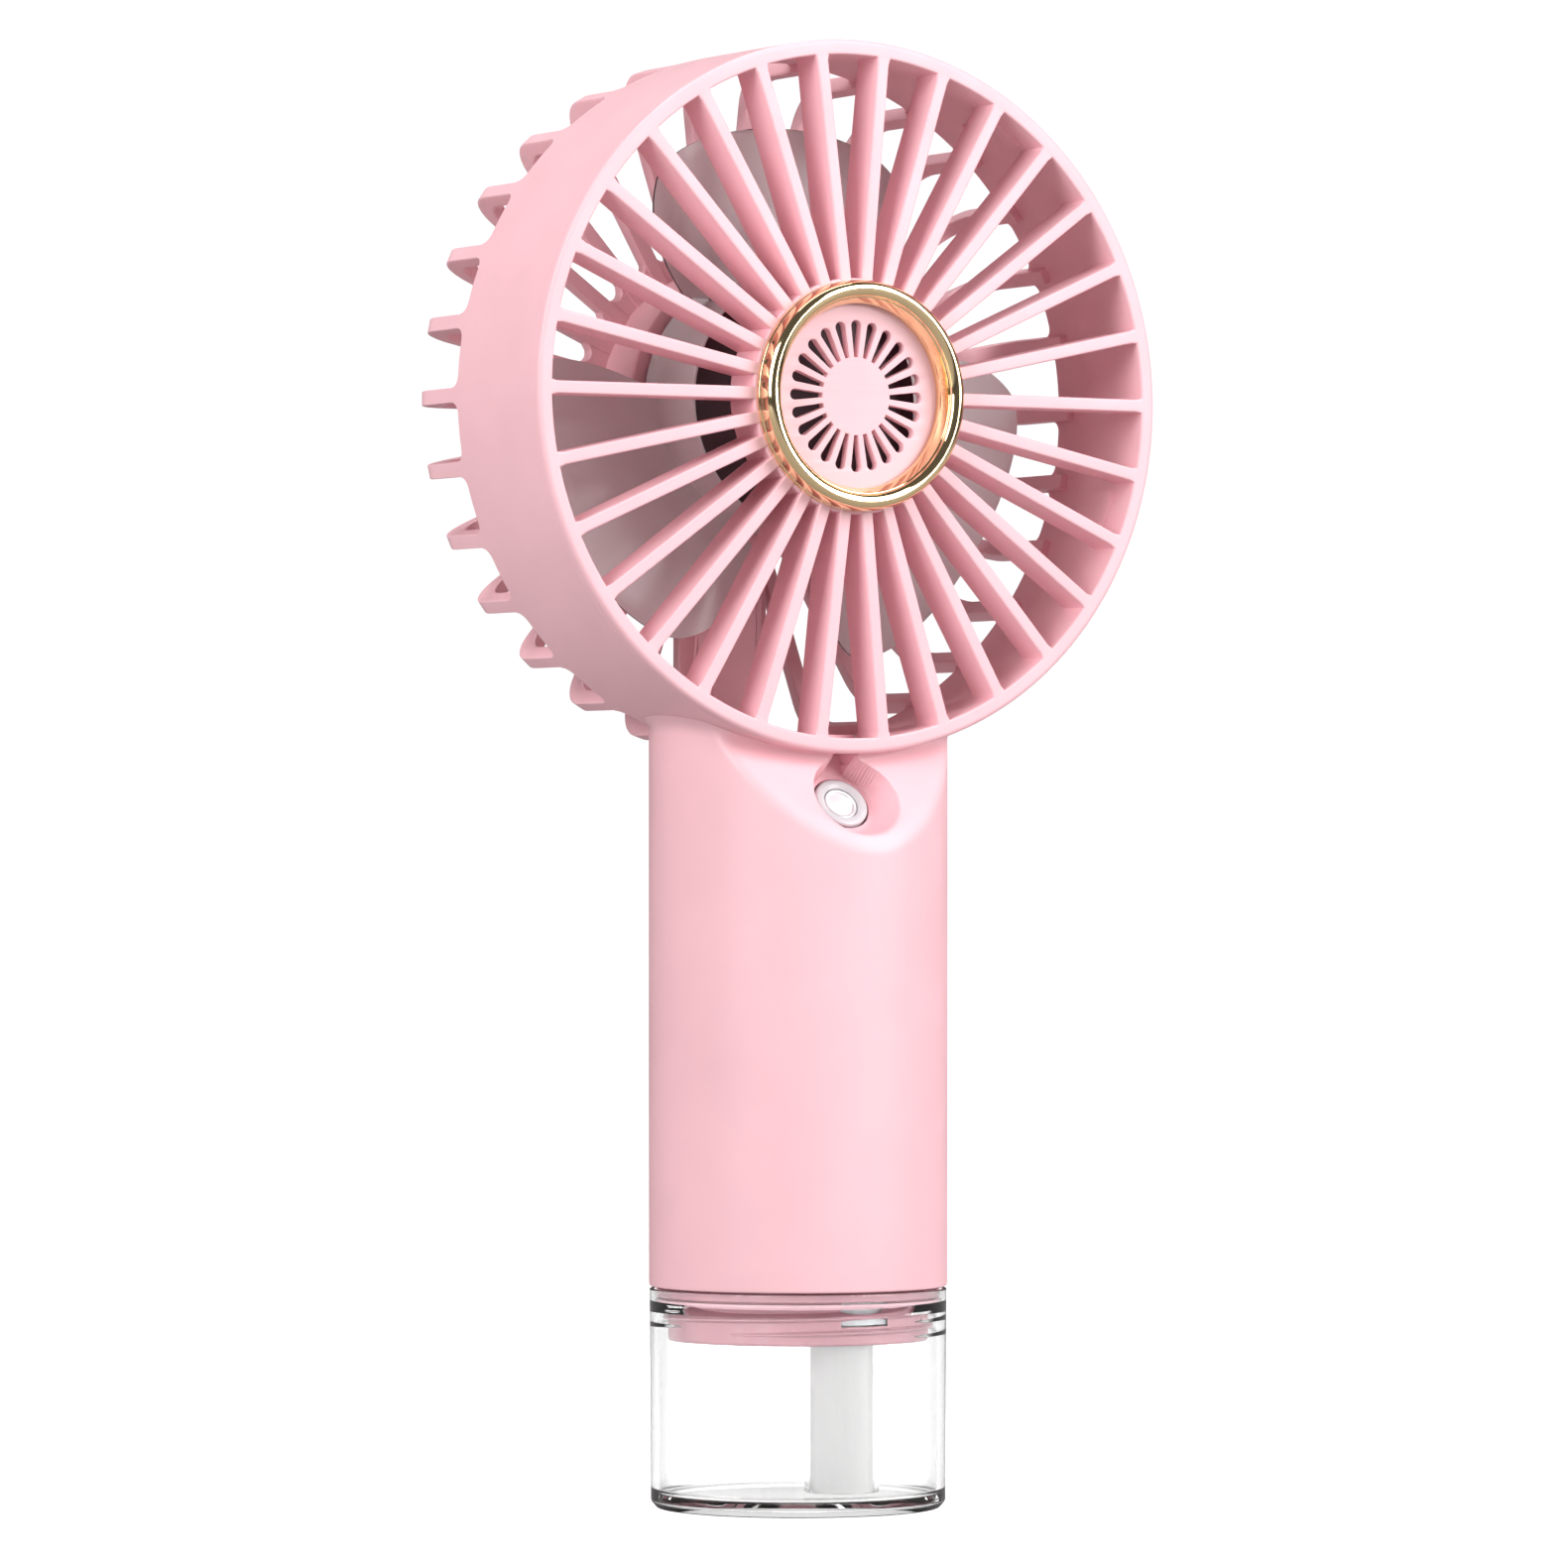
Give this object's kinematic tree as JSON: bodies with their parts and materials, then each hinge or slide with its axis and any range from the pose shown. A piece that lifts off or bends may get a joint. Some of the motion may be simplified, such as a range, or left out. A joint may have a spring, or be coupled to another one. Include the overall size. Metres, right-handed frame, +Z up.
{
  "type": "handheld misting fan",
  "caption": "Handheld electric fan with a caged round head, a slim handle with a mist nozzle, and a clear screw-on water tank as its base.",
  "frame": {"origin": "centre of the water tank's flat base, on the surface the fan stands on", "axes": "+Z up along the handle; the fan blows towards -Y; +X is on the right seen from the front"},
  "size_m": [0.1064, 0.0475, 0.2197],
  "materials": {
    "pink_shell": "soft satin moulded ABS, pale pink",
    "pink_neck": "satin moulded plastic, deeper pink",
    "gold_trim": "polished electroplated rose gold",
    "impeller_white": "glossy translucent white",
    "white_plastic": "satin white plastic",
    "black_plastic": "matte black plastic",
    "clear_plastic": "clear glossy plastic",
    "nozzle_steel": "fine satin steel",
    "motor_steel": "plated steel",
    "brass": "plain brass",
    "copper_winding": "lacquered copper wire on an iron core",
    "ferrite": "sintered ferrite",
    "red_wire": "PVC insulation",
    "ceramic": "fired piezo ceramic",
    "silicone": "translucent silicone",
    "pink_silicone": "dyed silicone",
    "wick_cotton": "pressed cotton fibre",
    "cell_wrap": "heat-shrink sleeve",
    "board_green": "solder mask"
  },
  "bodies": {
    "handle": {"handle_shell": "pink_shell", "neck_collar": "pink_neck", "rear_cage": "pink_shell", "front_grille": "pink_shell", "hub_vent_disc": "pink_shell", "gold_trim_ring": "gold_trim", "duct_cover": "pink_shell", "motor_can": "motor_steel", "motor_endcap": "black_plastic", "motor_bush_front": "brass", "motor_bush_rear": "brass", "motor_magnet_left": "ferrite", "motor_magnet_right": "ferrite", "motor_screw_left": "motor_steel", "motor_screw_right": "motor_steel", "motor_wire_red": "red_wire", "motor_wire_black": "black_plastic", "power_switch": "black_plastic", "mist_switch": "black_plastic", "nozzle_bezel": "white_plastic", "mesh_plate": "nozzle_steel", "piezo_ring": "ceramic", "atomiser_gasket": "silicone", "atomiser_clamp": "white_plastic", "felt_pad": "wick_cotton", "wick_tube": "clear_plastic", "wick": "wick_cotton", "wick_seal": "silicone", "battery_cell": "cell_wrap", "battery_tab_top": "motor_steel", "battery_tab_bottom": "motor_steel", "battery_tray": "white_plastic", "circuit_board": "board_green", "usb_c_port": "motor_steel", "led_light_pipe": "clear_plastic"},
    "impeller": {"impeller": "impeller_white", "motor_shaft": "motor_steel", "motor_rotor": "copper_winding", "motor_commutator": "brass"},
    "power_button": {"power_button": "pink_shell", "power_switch_plunger": "white_plastic"},
    "mist_button": {"mist_button": "pink_shell", "mist_switch_plunger": "white_plastic"},
    "tank_gasket": {"tank_gasket": "pink_silicone"},
    "tank": {"tank": "clear_plastic"}
  },
  "joints": [
    {"name": "impeller_spin", "type": "hinge", "parent": "handle", "child": "impeller", "pos_m": [0, 0, 0.1665], "axis": [0, -1, 0], "continuous": true},
    {"name": "power_button_press", "type": "slide", "parent": "handle", "child": "power_button", "axis": [0, -1, 0], "range_m": [0, 0.0005], "stiffness_N_per_m": 2500},
    {"name": "mist_button_press", "type": "slide", "parent": "handle", "child": "mist_button", "axis": [0, -1, 0], "range_m": [0, 0.0005], "stiffness_N_per_m": 2500},
    {"name": "tank_lower", "type": "slide", "parent": "handle", "child": "tank_gasket", "axis": [0, 0, -1], "range_m": [0, 0.00441]},
    {"name": "tank_unscrew", "type": "hinge", "parent": "tank_gasket", "child": "tank", "pos_m": [0, 0, 0], "axis": [0, 0, -1], "range_deg": [0, 720]}
  ],
  "couplings": [
    {"joint": "tank_lower", "follows": "tank_unscrew", "m_per_rad": 0.00035014}
  ]
}
